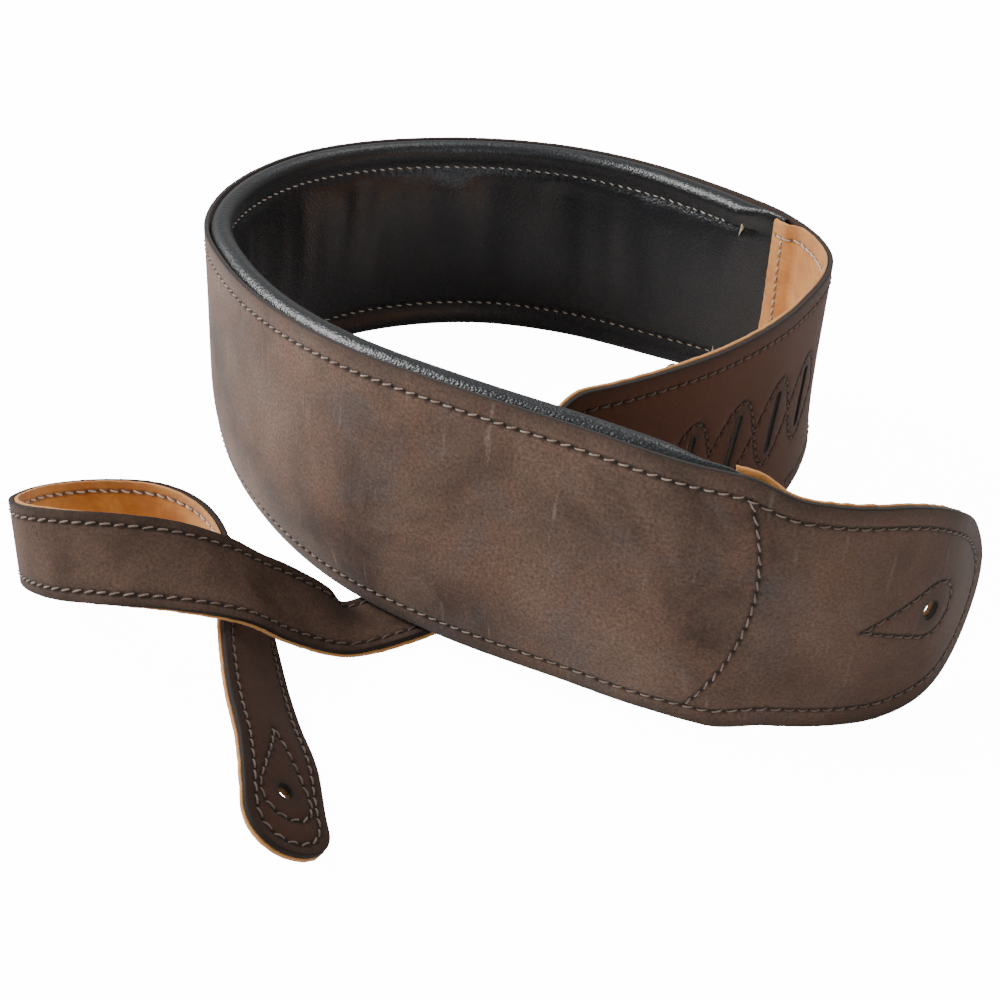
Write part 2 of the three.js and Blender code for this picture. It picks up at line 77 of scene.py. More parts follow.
# ---- Routes: distance along, middle of the brown face (x, y, z), and the lean of the top in degrees ----
BAND_ROUTE = [
    (0.005, 0.173, -0.064, 0.053, -4), (0.047, 0.151, -0.099, 0.051, 2),
    (0.094, 0.11, -0.121, 0.051, 3), (0.142, 0.063, -0.119, 0.0525, -2.5),
    (0.189, 0.019, -0.1, 0.055, -5), (0.237, -0.023, -0.078, 0.0564, -6),
    (0.284, -0.061, -0.05, 0.0562, -4.6), (0.332, -0.091, -0.013, 0.0542, -2.5),
    (0.379, -0.113, 0.029, 0.053, -1), (0.426, -0.126, 0.074, 0.052, 0),
    (0.474, -0.124, 0.122, 0.0515, -3), (0.521, -0.104, 0.164, 0.0515, -6.5),
    (0.569, -0.068, 0.194, 0.0512, -9.5), (0.616, -0.022, 0.207, 0.0512, -11),
    (0.664, 0.024, 0.201, 0.0512, -10.5), (0.711, 0.067, 0.181, 0.0512, -10.5),
    (0.758, 0.104, 0.151, 0.0525, -14), (0.806, 0.127, 0.111, 0.0535, -11),
    (0.853, 0.129, 0.064, 0.053, 1), (0.901, 0.11, 0.021, 0.052, 5), (0.948, 0.079, -0.015, 0.052, 10),
    (0.996, 0.044, -0.047, 0.052, 9), (1.043, 0.007, -0.077, 0.052, 2),
]
TAIL_ROUTE = [
    (-0.149, 0.0655, -0.0265, 0.0925, 9), (-0.145, 0.0633, -0.0269, 0.089, 9),
    (-0.129, 0.0563, -0.028, 0.075, 9), (-0.114, 0.0499, -0.0312, 0.0615, 7),
    (-0.101, 0.0487, -0.0409, 0.053, 6), (-0.084, 0.0425, -0.0571, 0.052, 5),
    (-0.066, 0.0246, -0.0604, 0.0505, 4), (-0.055, 0.0175, -0.0535, 0.047, -3),
    (-0.039, 0.007, -0.0485, 0.036, -22), (-0.0195, -0.006, -0.046, 0.021, -52),
    (-0.002, -0.02, -0.049, 0.0085, -78), (0.011, -0.031, -0.056, 0.0042, -89),
    (0.022, -0.0405, -0.063, 0.0041, -89.5), (0.033, -0.05, -0.0695, 0.0049, -88),
    (0.045, -0.0595, -0.0745, 0.0105, -68), (0.067, -0.075, -0.083, 0.023, -58),
    (0.09, -0.09, -0.092, 0.0365, -59), (0.113, -0.1095, -0.0985, 0.045, -50),
    (0.136, -0.132, -0.099, 0.0465, -37), (0.158, -0.153, -0.092, 0.0425, -20),
    (0.181, -0.169, -0.078, 0.036, -3), (0.204, -0.176, -0.058, 0.028, 5),
    (0.226, -0.17, -0.038, 0.0213, 12), (0.249, -0.153, -0.024, 0.0168, 14),
    (0.272, -0.131, -0.022, 0.0162, 7), (0.294, -0.111, -0.031, 0.0165, -6),
    (0.317, -0.097, -0.049, 0.0165, -15), (0.34, -0.089, -0.07, 0.0163, -26),
    (0.362, -0.085, -0.092, 0.0152, -37), (0.385, -0.08, -0.114, 0.0148, -42),
    (0.408, -0.074, -0.136, 0.0142, -47), (0.43, -0.067, -0.157, 0.014, -51),
    (0.453, -0.062, -0.18, 0.0132, -53), (0.476, -0.057, -0.203, 0.0113, -60),
]


def smooth(a, b, x):
    t = np.clip((np.asarray(x, float) - a) / (b - a), 0, 1)
    return t * t * (3 - 2 * t)


class Ribbon:
    """The frame of a strip's brown face at any distance along it."""

    def __init__(self, route):
        table = np.array(route)
        self.distance, values = table[:, 0], table[:, 1:]
        self.values = np.vstack([2 * values[0] - values[1], values, 2 * values[-1] - values[-2]])

    def at(self, s):
        s = np.asarray(s, float)
        i = np.clip(np.searchsorted(self.distance, s, side="right") - 1, 0, len(self.distance) - 2)
        t = ((s - self.distance[i]) / (self.distance[i + 1] - self.distance[i]))[:, None]
        before, start, end, after = (self.values[i + k] for k in range(4))
        leave, arrive = (end - before) / 2, (after - start) / 2
        cubic, square = 2 * (start - end) + leave + arrive, 3 * (end - start) - 2 * leave - arrive
        value = ((cubic * t + square) * t + leave) * t + start
        slope = (3 * cubic * t + 2 * square) * t + leave
        along = slope[:, :3] / np.linalg.norm(slope[:, :3], axis=1)[:, None]
        upright = np.array([0, 0, 1.0]) - along * along[:, 2:3]
        upright /= np.linalg.norm(upright, axis=1)[:, None]
        lean = np.radians(value[:, 3:4])
        width = upright * np.cos(lean) + np.cross(upright, along) * np.sin(lean)
        return value[:, :3], width, np.cross(width, along)

    def lay(self, s, w, n):
        """Points of the flat pattern at height n over the brown face, in the part's frame."""
        middle, width, out = self.at(s)
        return middle + width * np.asarray(w)[:, None] + out * np.asarray(n)[:, None] + ORIGIN


band = Ribbon(BAND_ROUTE)
tail = Ribbon(TAIL_ROUTE)


def waves(s, w, seed, size, amount):
    """Gentle, seeded unevenness with features of about the given size."""
    rng = np.random.default_rng(seed)
    total = np.zeros(len(s))
    for _ in range(7):
        direction, phase = rng.uniform(0, math.tau, 2)
        length = size * rng.uniform(0.7, 1.8)
        total += np.sin((s * math.cos(direction) + w * math.sin(direction)) * math.tau / length + phase)
    return amount * total / 7


def band_relief(s, w):
    """The padded front's lower edge turns under, and the whole band is slightly uneven."""
    share = smooth(0.104, 0.154, s) * (1 - smooth(0.34, 0.5, s))
    under = -8 * MM * share * np.clip((-w - 0.014) / 0.036, 0, 1.1) ** 2
    return under + waves(s, w, 3, 0.09, 0.5 * MM)


def tail_relief(s, w):
    calm = smooth(0.045, 0.07, s)
    return calm * waves(s, w, 5, 0.05, 0.25 * MM)


RELIEF = {band: band_relief, tail: tail_relief}


# ---- Flat patterns ----
def super_round(x, power):
    return (1 - np.clip(x, 0, 1) ** power) ** (1 / power)


def band_half(s):
    tip = TAB_HALF * super_round((BAND_START + TIP_LENGTH - s) / TIP_LENGTH, 1.8)
    corner = SLOT_CORNER * (1 - super_round((s - BAND_END + SLOT_CORNER) / SLOT_CORNER, 2))
    return tip + (BAND_HALF - TAB_HALF) * smooth(0.108, 0.13, s) - corner


def band_dip(s):
    return -13 * MM * (1 - smooth(0, 1, (s - BAND_START) / 0.13)) ** 1.2


def tail_half(s):
    end = TAIL_HALF * super_round((s - TAIL_END) / TAIL_HALF + 1, 2)
    return end - TONGUE_CUT * (1 - smooth(-0.046, -0.012, s)) - 3 * MM * (1 - smooth(-0.149, -0.144, s))


def ring_of(half, dip, start, end, round_start, round_end, step=2 * MM):
    """A closed outline from its half width: the stations crowd together where an end is round."""
    low, high = start + round_start, end - round_end
    stations = list(np.linspace(low, high, max(2, int((high - low) / step))))
    if round_start:
        stations = [low - round_start * math.sin(a) for a in np.linspace(1.5, 0.04, 34)] + stations
    if round_end:
        stations += [high + round_end * math.sin(a) for a in np.linspace(0.06, 1.5, 24)]
    s = np.array(stations)
    upper = np.stack([s, dip(s) + half(s)], 1)
    lower = np.stack([s, dip(s) - half(s)], 1)
    return resample(np.vstack([upper, lower[::-1]]), step, closed=True)


def resample(path, pitch, closed=False):
    """The path cut into equal steps of about the pitch."""
    points = np.vstack([path, path[:1]]) if closed else np.asarray(path)
    run = np.concatenate([[0], np.cumsum(np.linalg.norm(np.diff(points, axis=0), axis=1))])
    count = max(2, round(run[-1] / pitch))
    at = np.linspace(0, run[-1], count + 1)[: count if closed else count + 1]
    return np.stack([np.interp(at, run, points[:, 0]), np.interp(at, run, points[:, 1])], 1)


def area(loop):
    after = np.roll(loop, -1, axis=0)
    return 0.5 * np.sum(loop[:, 0] * after[:, 1] - after[:, 0] * loop[:, 1])


def turned(loop, counterclockwise):
    return loop if (area(loop) > 0) == counterclockwise else loop[::-1]


def offset(loop, distance):
    """The loop moved to its left, which is into the leather."""
    ahead = np.roll(loop, -1, axis=0) - np.roll(loop, 1, axis=0)
    ahead /= np.linalg.norm(ahead, axis=1)[:, None]
    return loop + np.stack([-ahead[:, 1], ahead[:, 0]], 1) * distance


def opened(path):
    """A closed path that lost a stretch, turned so that it starts just after the gap."""
    steps = np.linalg.norm(np.roll(path, -1, axis=0) - path, axis=1)
    return np.roll(path, -1 - int(np.argmax(steps)), axis=0)


def inside(points, loop):
    """Which points lie inside a closed loop."""
    result = np.zeros(len(points), bool)
    for (x0, y0), (x1, y1) in zip(loop, np.roll(loop, -1, axis=0)):
        crosses = (y0 > points[:, 1]) != (y1 > points[:, 1])
        if y0 != y1:
            result ^= crosses & (points[:, 0] < (x1 - x0) * (points[:, 1] - y0) / (y1 - y0) + x0)
    return result


def circle(s, w, radius, count=24):
    angles = np.linspace(0, math.tau, count, endpoint=False)
    return np.stack([s + radius * np.cos(angles), w + radius * np.sin(angles)], 1)


def slot_loop(index):
    radius = (SLOT_WIDTH if index < SLOT_COUNT - 2 else OPEN_SLOT_WIDTH) / 2
    reach = SLOT_LENGTH / 2 - radius
    top, bottom = np.linspace(0, math.pi, 9), np.linspace(math.pi, math.tau, 9)
    points = [(radius * math.cos(a), reach + radius * math.sin(a)) for a in top]
    points += [(radius * math.cos(a), -reach + radius * math.sin(a)) for a in bottom]
    return resample(np.array(points) + [SLOT_FIRST + index * SLOT_PITCH, 0], 1.2 * MM, closed=True)


def teardrop(at, towards, centre, radius, point_length):
    """A round end past the hole and straight sides that meet in a point."""
    opening = math.acos(radius / point_length)
    turn = [(towards * radius * math.cos(a), radius * math.sin(a)) for a in np.linspace(opening, math.tau - opening, 40)]
    return np.array([(towards * point_length, 0), *turn]) + [at, centre]


def front_shift(w):
    """How far the pad's front end and its seam run from a straight line across the band."""
    return -0.13 * w + 6.5 * w * w


def rear_shift(w):
    return 0.4 * w


def cross_seam(at, shift, half):
    w = np.linspace(-half, half, 60)
    return np.stack([at + shift(w), w], 1)


BAND_OUTLINE = turned(ring_of(band_half, band_dip, BAND_START, BAND_END, TIP_LENGTH, SLOT_CORNER), True)
TAIL_OUTLINE = turned(ring_of(tail_half, lambda s: 0 * s, TAIL_START, TAIL_END, 0, TAIL_HALF), True)
SLOTS = [slot_loop(i) for i in range(SLOT_COUNT)]
BUTTON_DIP = float(band_dip(BUTTON_HOLE_AT))
BUTTON_OPENING = circle(BUTTON_HOLE_AT, BUTTON_DIP, BUTTON_HOLE)
TAIL_OPENING = circle(TAIL_HOLE_AT, 0, TAIL_HOLE)

# ---- Seams in the flat pattern ----
BAND_EDGE = offset(BAND_OUTLINE, EDGE_INSET)
FRONT_SEAM = cross_seam(0.1207, front_shift, 0.042)
REAR_SEAM = cross_seam(0.794, rear_shift, 0.042)
wave_at = np.linspace(SLOT_FIRST - SLOT_PITCH / 2, SLOT_FIRST + (SLOT_COUNT - 0.5) * SLOT_PITCH, 120)
wave_across = CHAIN_HALF * np.cos(math.pi * (wave_at - SLOT_FIRST) / SLOT_PITCH)
CHAIN = [np.stack([wave_at, sign * wave_across], 1) for sign in (1, -1)]
BUTTON_DROP = teardrop(BUTTON_HOLE_AT - 1 * MM, 1, BUTTON_DIP, 0.011, 0.031)
TAIL_DROP = teardrop(TAIL_HOLE_AT + 2 * MM, -1, 0, 0.01, 0.033)
tail_inset = offset(TAIL_OUTLINE, TAIL_INSET)
TAIL_EDGE = opened(tail_inset[tail_inset[:, 0] > 0])


# ---- Meshes ----
def make_mesh(name, points, faces, flat, material, edge=None, pit=None):
    """A smooth closed mesh whose UV map is the flat pattern in metres, with its edge and needle-hole weights."""
    mesh = bpy.data.meshes.new(name)
    mesh.from_pydata(np.asarray(points).tolist(), [], [tuple(f) for f in faces])
    volume_sign(mesh)
    corners = np.empty(len(mesh.loops), int)
    mesh.loops.foreach_get("vertex_index", corners)
    mesh.uv_layers.new(name="pattern").uv.foreach_set("vector", np.asarray(flat)[corners].ravel())
    for label, values in (("edge", edge), ("pit", pit)):
        layer = mesh.attributes.new(label, "FLOAT", "POINT")
        layer.data.foreach_set("value", np.zeros(len(points)) if values is None else np.asarray(values, float))
    mesh.shade_smooth()
    mesh.materials.append(material)
    piece = bpy.data.objects.new(name, mesh)
    bpy.context.scene.collection.objects.link(piece)
    return piece


def volume_sign(mesh):
    """Turns the faces outwards. They are all wound alike already."""
    mesh.calc_loop_triangles()
    points = np.array([v.co for v in mesh.vertices])
    triangles = np.array([t.vertices for t in mesh.loop_triangles])
    a, b, c = (points[triangles[:, k]] for k in range(3))
    if np.einsum("ij,ij->i", a, np.cross(b, c)).sum() < 0:
        mesh.flip_normals()


def tree_of(points):
    tree = KDTree(len(points))
    for i, (s, w) in enumerate(points):
        tree.insert((s, w, 0), i)
    tree.balance()
    return tree


def seam_points(seams, outline, openings):
    """Points that press each seam into the leather: a pit at each needle hole and a shallow groove between."""
    places, sink, pit = [], [], []
    for path, closed in seams:
        holes = resample(path, STITCH, closed)
        dense = resample(path, STITCH / 2, closed)
        for s, w in holes:
            places.append((s, w))
            sink.append(0.75 * MM)
            pit.append(1.0)
            for a in np.arange(6) * math.pi / 3:
                places.append((s + 0.75 * MM * math.cos(a), w + 0.75 * MM * math.sin(a)))
                sink.append(0.35 * MM)
                pit.append(0.75)
        ahead = np.gradient(dense, axis=0)
        ahead /= np.linalg.norm(ahead, axis=1)[:, None]
        side = np.stack([-ahead[:, 1], ahead[:, 0]], 1)
        for shift, depth, dark in ((0, 0.28, 0.45), (1.4 * MM, 0.05, 0.06), (-1.4 * MM, 0.05, 0.06)):
            for s, w in dense + side * shift:
                places.append((s, w))
                sink.append(depth * MM)
                pit.append(dark)
    kept, tree_points = [], {}
    cell = 0.5 * MM
    for i, (s, w) in enumerate(places):
        key = (round(s / cell), round(w / cell))
        near = [tree_points.get((key[0] + a, key[1] + b)) for a in (-1, 0, 1) for b in (-1, 0, 1)]
        if all(j is None or math.dist(places[j], (s, w)) > cell for j in near):
            tree_points[key] = i
            kept.append(i)
    points = np.array([places[i] for i in kept]).reshape(-1, 2)
    clear = inside(points, offset(outline, 1.2 * MM))
    for loop in openings:
        clear &= ~inside(points, offset(loop, 0.8 * MM))
    return points[clear], np.array([sink[i] for i in kept])[clear], np.array([pit[i] for i in kept])[clear]


def leather(name, ribbon, outline, openings, seams, high, low, seen, material, radius=0.5 * MM, fray=0, opening_rim_dark=0.9):
    """A piece cut from a hide: its loops in the flat pattern, heights of its two faces and the face that is seen,
    1 for the high one and -1 for the low one, which its seams sink into."""
    loops = [turned(outline, True)] + [turned(loop, False) for loop in openings]
    borders = [offset(loop, radius) for loop in loops]
    pressed, sink, pit = seam_points(seams, loops[0], loops[1:])
    spacing = np.array([3 * MM, 3.6 * MM])
    low_corner, high_corner = borders[0].min(0), borders[0].max(0)
    counts = np.ceil((high_corner - low_corner) / spacing).astype(int) + 1
    grid = np.stack(np.meshgrid(*[np.arange(c) for c in counts], indexing="ij"), -1).astype(float)
    grid[..., 0] += 0.5 * (np.arange(counts[1]) % 2)
    grid = grid.reshape(-1, 2) * spacing + low_corner
    grid = grid[inside(grid, offset(loops[0], 1.6 * MM))]
    for loop in loops[1:]:
        grid = grid[~inside(grid, offset(loop, 1.6 * MM))]
    if len(pressed):
        near = tree_of(pressed)
        grid = grid[[near.find((s, w, 0))[2] > 1.1 * MM for s, w in grid]]
    flat = np.vstack([*borders, pressed, grid])
    border_count = sum(len(b) for b in borders)
    sink = np.concatenate([np.zeros(border_count), sink, np.zeros(len(grid))])
    pit = np.concatenate([np.zeros(border_count), pit, np.zeros(len(grid))])
    rings, first = [], 0
    for border in borders:
        rings.append(np.arange(first, first + len(border)))
        first += len(border)
    edges = [(int(a), int(b)) for ring in rings for a, b in zip(ring, np.roll(ring, -1))]
    result = delaunay_2d_cdt([Vector(p) for p in (flat / MM)], edges, [], 0, 1e-5, True)
    source = [ids[0] for ids in result[3]]
    triangles = np.array([[source[i] for i in face] for face in result[2]])
    centres = flat[triangles].mean(1)
    kept = inside(centres, borders[0])
    for border in borders[1:]:
        kept &= ~inside(centres, border)
    triangles = triangles[kept]
    corner = flat[triangles]
    spans = corner[:, 1:] - corner[:, :1]
    clockwise = spans[:, 0, 0] * spans[:, 1, 1] - spans[:, 0, 1] * spans[:, 1, 0] < 0
    triangles[clockwise] = triangles[clockwise][:, ::-1]

    relief = RELIEF[ribbon]
    rim = tree_of(np.vstack(loops))
    reach = np.array([rim.find((s, w, 0))[2] for s, w in flat])
    edge = 0.5 * (1 - smooth(0, 6 * MM, reach))
    count = len(flat)
    points, flats, edge_all, pit_all = [], [], [], []
    for face, height in ((1, high), (-1, low)):
        n = height(flat[:, 0], flat[:, 1]) - face * sink * (face == seen) + relief(flat[:, 0], flat[:, 1])
        points.append(ribbon.lay(flat[:, 0], flat[:, 1], n))
        flats.append(flat)
        edge_all.append(edge)
        pit_all.append(pit if face == seen else 0 * pit)
    faces = [tuple(t) for t in triangles[:, ::-1]] + [tuple(t + count) for t in triangles]
    total = 2 * count
    steps = [(1, a) for a in np.radians([22.5, 45, 67.5, 90])] + [(-1, a) for a in np.radians([90, 67.5, 45, 22.5])]
    for ring, loop in zip(rings, loops):
        previous = ring
        rough = np.array([noise.noise(Vector((s * 900, w * 900, 3))) for s, w in loop]) * fray
        for side, angle in steps:
            inset = radius * (1 - math.sin(angle))
            moved = offset(loop, inset) - (offset(loop, 1) - loop) * rough[:, None]
            height = (high if side > 0 else low)(moved[:, 0], moved[:, 1])
            n = height - side * radius * (1 - math.cos(angle)) + relief(moved[:, 0], moved[:, 1])
            points.append(ribbon.lay(moved[:, 0], moved[:, 1], n))
            flats.append(moved)
            edge_all.append(np.full(len(loop), 0.6 + 0.4 * math.sin(angle)))
            # The rounded rims of the openings are coloured dark through the pit weight.
            pit_all.append(np.full(len(loop), 0 if loop is loops[0] else opening_rim_dark))
            current = np.arange(total, total + len(loop))
            total += len(loop)
            faces += strip(previous, current)
            previous = current
        faces += strip(previous, ring + count)
    return make_mesh(name, np.vstack(points), faces, np.vstack(flats), material,
                     np.concatenate(edge_all), np.concatenate(pit_all))


def strip(first, second):
    """Quads between two closed rings."""
    return [(int(a), int(b), int(d), int(c)) for a, b, c, d in
            zip(first, np.roll(first, -1), second, np.roll(second, -1))]


def stitches(name, ribbon, seams, height, away, material, slant=0.42 * MM):
    """Separate stitches: each thread comes up out of one needle hole, lies in the groove and goes down the next."""
    rng = random.Random(name)
    turns = np.linspace(0, math.tau, 7)[:-1]
    run = np.linspace(0, 1, 9)
    points, flats, faces = [], [], []
    relief = RELIEF[ribbon]
    for path, closed in seams:
        holes = resample(path, STITCH, closed)
        ends = np.roll(holes, -1, axis=0) if closed else holes[1:]
        for start, end in zip(holes, ends):
            step = (end - start) / np.linalg.norm(end - start)
            side = np.array([-step[1], step[0]])
            tilt = slant * (1 + 0.5 * rng.uniform(-1, 1))
            near, far = start + step * 0.55 * MM + side * tilt, end - step * 0.55 * MM - side * tilt
            line = near + (far - near) * run[:, None]
            rise = -0.75 * MM + (0.9 * MM + rng.uniform(-0.04, 0.06) * MM) * np.sin(math.pi * run) ** 0.45
            radius = THREAD * (0.8 + 0.2 * np.sin(math.pi * run))
            ring_s = line[:, None, :] + side * (radius[:, None] * np.cos(turns))[..., None]
            ring_n = rise[:, None] + radius[:, None] * 0.85 * np.sin(turns)
            s, w, n = ring_s[..., 0].ravel(), ring_s[..., 1].ravel(), ring_n.ravel()
            base = sum(len(p) for p in points)
            points.append(ribbon.lay(s, w, height(s, w) + away * n + relief(s, w)))
            flats.append(np.stack([s, w], 1))
            for k in range(len(run) - 1):
                first = base + 6 * k + np.arange(6)
                faces += strip(first, first + 6)
            last = base + 6 * (len(run) - 1)
            faces += [tuple(base + np.arange(6)), tuple(last + np.arange(6)[::-1])]
    return make_mesh(name, np.vstack(points), faces, np.vstack(flats), material)


# ---- Heights of the faces (s, w arrays) ----
def brown_face(s, w):
    return 0 * s


def brown_back(s, w):
    return 0 * s - OUTER


def slanted(station, w):
    """Where a station of the pad lies at w: its two ends run along the slanted and curved cross seams."""
    return station + front_shift(w) * (1 - smooth(0.15, 0.2, station)) + rear_shift(w) * smooth(0.7, 0.76, station)


def pad_station(s, w):
    station = s
    for _ in range(6):
        station = station + s - slanted(station, w)
    return station


def lining_face(s, w):
    station = pad_station(s, w)
    front = smooth(PAD_START - 12 * MM, PAD_START - 4 * MM, station)
    rear = smooth(PAD_END + 4 * MM, PAD_END + 12 * MM, station)
    return -OUTER - GAP - (PAD_END_DEPTH + 2 * GAP) * (front - rear)


def lining_back(s, w):
    return lining_face(s, w) - LINING


def tail_lining_face(s, w):
    return 0 * s - OUTER - GAP


def tail_lining_back(s, w):
    return tail_lining_face(s, w) - LINING


# ---- Pad ----
def pad_depth(s):
    low, high = PAD_START + FRONT_OVERLAP - 14 * MM, PAD_END - REAR_OVERLAP + 3 * MM
    full = smooth(low, low + PAD_TAPER, s) * (1 - smooth(high - PAD_TAPER, high, s))
    return PAD_END_DEPTH + (PAD_DEPTH - PAD_END_DEPTH) * full


def crown(across, depth):
    """Depth of the padded middle: a soft crown between the two seams, pinched at the seams."""
    x = np.clip(np.abs(across) / VALLEY_AT, 0, 1)
    return depth * (0.62 + 0.38 * (1 - x ** 2.8) ** 0.9) - 0.8 * MM * smooth(0.9, 1, x) * smooth(0.003, 0.008, depth)


def wrinkles(s, w):
    """Folds across the soft cover, where the bend of the band squeezes it: sharp valleys between soft ridges."""
    total = np.zeros_like(s)
    for seed, size, amount in ((1, 0.021, 1.0), (2, 0.013, 0.6), (3, 0.034, 0.7)):
        total += amount * np.array([
            noise.noise(Vector((a / size, b / 0.07 + 3 * seed, 11 * seed))) for a, b in zip(s.ravel(), w.ravel())
        ]).reshape(s.shape)
    squeezed = smooth(0.36, 0.44, s) * (1 - 0.75 * smooth(0.66, 0.76, s)) + 0.25 * smooth(0.2, 0.3, s)
    middle = 1 - smooth(0.72, 0.99, np.abs(w) / VALLEY_AT)
    return 2.3 * MM * np.clip(squeezed, 0, 1) * middle * total


def cover_rows(s, inset, columns):
    """Across positions and heights of the cover at stations s: under the leather, round the roll and over the pad."""
    depth = pad_depth(s)[:, None]
    centre = band_half(s)[:, None] + 0.5 * MM - ROLL_RADIUS
    proud = 1.1 * MM * smooth(0.13, 0.16, s)[:, None] * (1 - smooth(0.74, 0.78, s))[:, None]
    radius = np.minimum(ROLL_RADIUS, depth / 2)
    base = -OUTER - 2 * GAP
    turn = np.linspace(0, math.pi, 15)[None, :]
    roll_w = centre + (ROLL_RADIUS - inset) * np.sin(turn)
    roll_n = base - radius + (radius - inset) * np.cos(turn)
    across = VALLEY_AT * np.sin(np.linspace(math.pi / 2, -math.pi / 2, columns))[None, :]
    middle_n = base - crown(across + 0 * centre, depth) + inset
    start_w, start_n = centre - 5 * MM, base - inset + 0 * centre
    bridge_w = (roll_w[:, -1:] + VALLEY_AT) / 2
    bridge_n = roll_n[:, -1:] * 0.62 + middle_n[:, :1] * 0.38
    w = np.hstack([start_w + proud, roll_w + proud, bridge_w + proud / 2, across + 0 * centre,
                   -bridge_w, -roll_w[:, ::-1], -start_w])
    n = np.hstack([start_n, roll_n, bridge_n, middle_n, bridge_n, roll_n[:, ::-1], start_n])
    return w, n


def pad_piece(name, first, last, step, inset, thickness, columns, material):
    """A closed body over the band's back. With a thickness it is a shell, and without one it is filled."""
    s = np.linspace(first, last, int((last - first) / step))
    outer_w, outer_n = cover_rows(s, inset, columns)
    grid = s[:, None] + 0 * outer_w
    outer_n = outer_n - wrinkles(grid, outer_w)
    pucker = 0.35 * MM * np.cos(grid * math.tau / STITCH) * np.exp(-((np.abs(outer_w) - VALLEY_AT) / (2.4 * MM)) ** 2)
    outer_n = outer_n - pucker * smooth(3 * MM, 8 * MM, pad_depth(s))[:, None]
    sections = [(outer_w, outer_n)]
    if thickness:
        inner_w, inner_n = cover_rows(s, inset + thickness, columns)
        sections.append((inner_w[:, ::-1], (inner_n - wrinkles(grid, inner_w))[:, ::-1]))
    w = np.hstack([part[0] for part in sections])
    n = np.hstack([part[1] for part in sections])
    rows, count = w.shape
    s_flat = slanted(s[:, None] + 0 * w, w).ravel()
    w_flat, n_flat = w.ravel(), n.ravel()
    points = band.lay(s_flat, w_flat, n_flat + band_relief(s_flat, w_flat))
    faces = []
    for i in range(rows - 1):
        faces += strip(np.arange(count) + i * count, np.arange(count) + (i + 1) * count)
    for row, flip in ((0, False), (rows - 1, True)):
        ring = np.arange(count) + row * count
        if thickness:
            half = count // 2
            quads = [(ring[k], ring[k + 1], ring[count - 2 - k], ring[count - 1 - k]) for k in range(half - 1)]
        else:
            quads = [(ring[k], ring[k + 1], ring[count - 2 - k], ring[count - 1 - k]) for k in range(count // 2 - 1)]
            if count % 2:
                k = count // 2 - 1
                quads.append((ring[k], ring[k + 1], ring[k + 2]))
        faces += [tuple(int(v) for v in (q[::-1] if flip else q)) for q in quads]
    girth = np.cumsum(np.hstack([np.zeros((rows, 1)), np.hypot(np.diff(w), np.diff(n))]), 1)
    return make_mesh(name, points, faces, np.stack([s_flat, girth.ravel()], 1), material)


def valley_height(s, w):
    depth = pad_depth(pad_station(s, w))
    return -OUTER - 2 * GAP - 0.62 * depth + 0.75 * MM * smooth(3 * MM, 8 * MM, depth)


# ---- Materials ----
class Look:
    """A procedural material: small helpers that add and join shader nodes."""

    def __init__(self, name, **shader):
        self.material = bpy.data.materials.new(name)
        self.material.use_nodes = True
        self.nodes, self.links = self.material.node_tree.nodes, self.material.node_tree.links
        self.shader = self.nodes["Principled BSDF"]
        for key, value in shader.items():
            self.shader.inputs[key.replace("_", " ")].default_value = value
        self.pattern = self.add("ShaderNodeUVMap").outputs[0]
        self.pattern.node.uv_map = "pattern"

    def add(self, kind, inputs=(), **settings):
        made = self.nodes.new(kind)
        for key, value in settings.items():
            setattr(made, key, value)
        for key, value in dict(inputs).items():
            if isinstance(value, bpy.types.NodeSocket):
                self.links.new(value, made.inputs[key])
            else:
                made.inputs[key].default_value = value
        return made

    def noise(self, scale, detail=4, roughness=0.55, stretch=(1, 1, 1), turn=0, distortion=0):
        mapped = self.add("ShaderNodeMapping", {0: self.pattern, "Scale": stretch, "Rotation": (0, 0, turn)})
        return self.add("ShaderNodeTexNoise", {
            "Vector": mapped.outputs[0], "Scale": scale, "Detail": detail, "Roughness": roughness,
            "Distortion": distortion}).outputs[0]

    def cells(self, scale, feature="F1", jitter=1):
        return self.add("ShaderNodeTexVoronoi", {"Vector": self.pattern, "Scale": scale, "Randomness": jitter},
                        feature=feature).outputs["Distance"]

    def weight(self, name):
        return self.add("ShaderNodeAttribute", attribute_name=name).outputs["Fac"]

    def span(self, value, low, high, to_low=0, to_high=1):
        return self.add("ShaderNodeMapRange", {0: value, 1: low, 2: high, 3: to_low, 4: to_high}).outputs[0]

    def math(self, operation, a, b):
        return self.add("ShaderNodeMath", {0: a, 1: b}, operation=operation).outputs[0]

    def mix(self, factor, a, b, blend="MIX"):
        made = self.add("ShaderNodeMix", data_type="RGBA", blend_type=blend)
        for key, value in ((0, factor), (6, a), (7, b)):
            if isinstance(value, bpy.types.NodeSocket):
                self.links.new(value, made.inputs[key])
            else:
                made.inputs[key].default_value = value if key == 0 else (*value, 1)
        return made.outputs[2]

    def bump(self, height, distance, strength=1.0, under=None):
        made = self.add("ShaderNodeBump", {"Height": height, "Distance": distance, "Strength": strength})
        if under is not None:
            self.links.new(under, made.inputs["Normal"])
        return made.outputs[0]

    def finish(self, color, roughness, normal):
        for key, value in (("Base Color", color), ("Roughness", roughness), ("Normal", normal)):
            self.links.new(value, self.shader.inputs[key])
        return self.material


